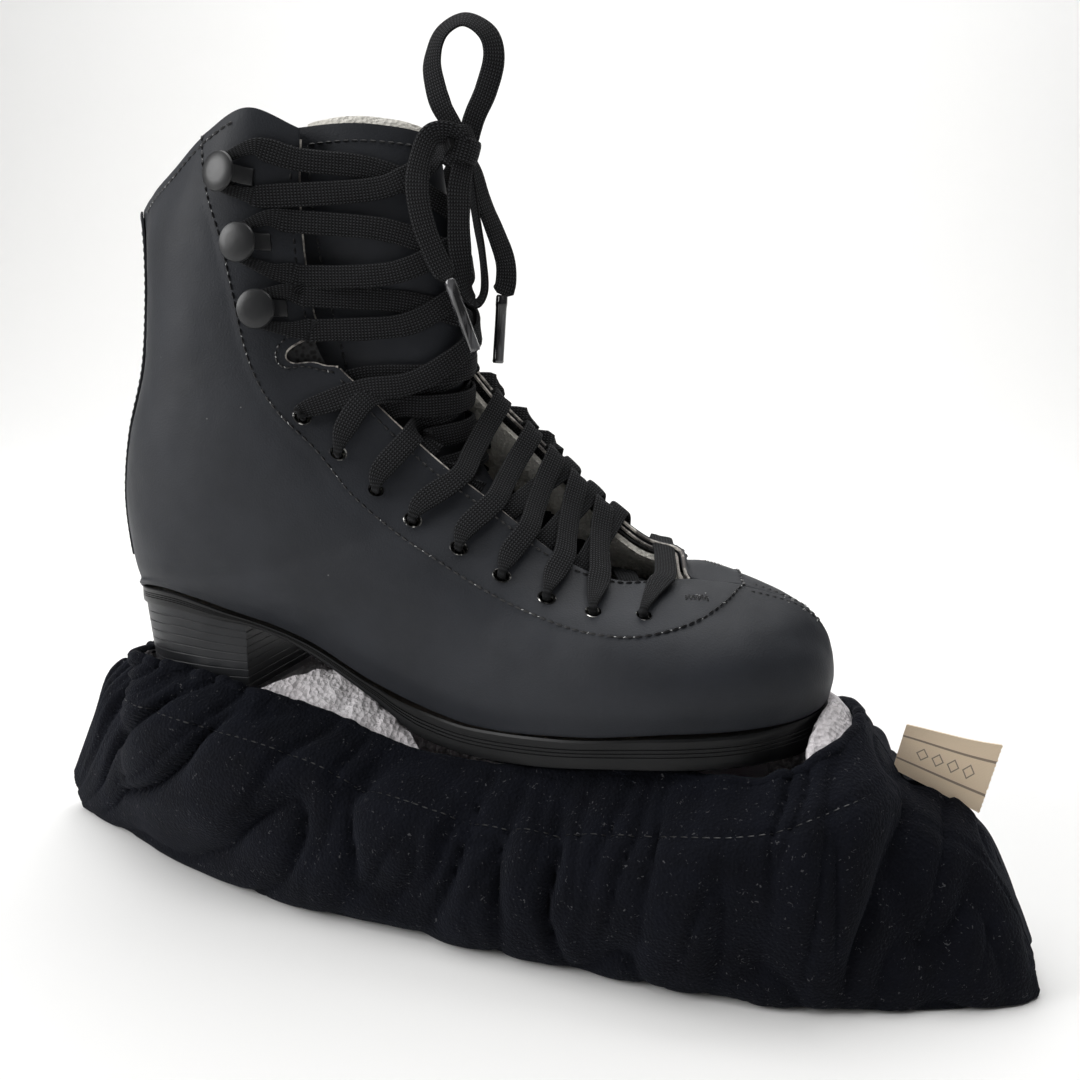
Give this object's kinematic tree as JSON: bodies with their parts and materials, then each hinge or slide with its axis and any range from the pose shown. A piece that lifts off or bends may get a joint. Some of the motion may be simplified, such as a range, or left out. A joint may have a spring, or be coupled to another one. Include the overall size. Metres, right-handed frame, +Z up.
{
  "type": "figure skate",
  "caption": "Black leather figure skate with eyelets, lace hooks and a tied bow, standing on its hidden blade inside a fleece blade cover.",
  "frame": {"origin": "centre of the bounding box at the floor, under the middle of the blade cover, free cords left out", "axes": "+X towards the toe, +Z up, +Y towards the inner side of the foot, so the outer side faces -Y"},
  "size_m": [0.3771, 0.1147, 0.3059],
  "materials": {
    "black_leather": "matte grained black",
    "cream_lining": "soft brushed fleece",
    "fibre_board": "pressed fibre board",
    "black_hook": "satin black lacquer",
    "black_sole": "semi-gloss black",
    "blade_steel": "polished",
    "cover_fleece": "napped fleece with lint",
    "cover_terry": "looped terry",
    "black_lace": "knitted flat cord",
    "smoked_aglet": "glossy smoked",
    "woven_tag": "woven twill"
  },
  "bodies": {
    "cover": {"cover_shell": "cover_fleece", "cover_lining": "cover_terry", "hem_elastic": "cover_fleece"},
    "boot": {"aglet_far": "smoked_aglet", "aglet_near": "smoked_aglet", "back_stay": "black_leather", "blade_runner": "blade_steel", "bow_knot": "black_lace", "bow_loop_down": "black_lace", "bow_loop_up": "black_lace", "facing_left": "black_leather", "facing_right": "black_leather", "footbed": "cream_lining", "heel_block": "black_sole", "heel_counter_left": "fibre_board", "heel_counter_right": "fibre_board", "heel_plate": "blade_steel", "heel_screw_1": "blade_steel", "heel_screw_2": "blade_steel", "heel_screw_3": "blade_steel", "heel_screw_4": "blade_steel", "hook_left_1": "black_hook", "hook_left_2": "black_hook", "hook_left_3": "black_hook", "hook_right_1": "black_hook", "hook_right_2": "black_hook", "hook_right_3": "black_hook", "insole_board": "fibre_board", "lace_end_far": "black_lace", "lace_end_near": "black_lace", "lacing": "black_lace", "lining_left": "cream_lining", "lining_right": "cream_lining", "outsole": "black_sole", "sole_plate": "blade_steel", "sole_screw_1": "blade_steel", "sole_screw_2": "blade_steel", "sole_screw_3": "blade_steel", "sole_screw_4": "blade_steel", "sole_screw_5": "blade_steel", "sole_screw_6": "blade_steel", "toe_puff_left": "fibre_board", "toe_puff_right": "fibre_board", "upper_left": "black_leather", "upper_right": "black_leather"},
    "tongue": {"tongue": "black_leather", "tongue_padding": "cream_lining"},
    "tag": {"sewn_tag": "woven_tag"}
  },
  "joints": [
    {"name": "cover_pull_off", "type": "slide", "parent": "cover", "child": "boot", "axis": [0, 0, 1], "range_m": [0, 0.13]},
    {"name": "tongue_bend", "type": "hinge", "parent": "boot", "child": "tongue", "pos_m": [0.0778, 0.0037, 0.108], "axis": [0, 1, 0], "range_deg": [-6, 0]},
    {"name": "tag_bend", "type": "hinge", "parent": "cover", "child": "tag", "pos_m": [0.1403, 0.00264, 0.0668], "axis": [0.9133, -0.0634, -0.4024], "range_deg": [-40, 40], "stiffness_Nm_per_rad": 0.002}
  ]
}
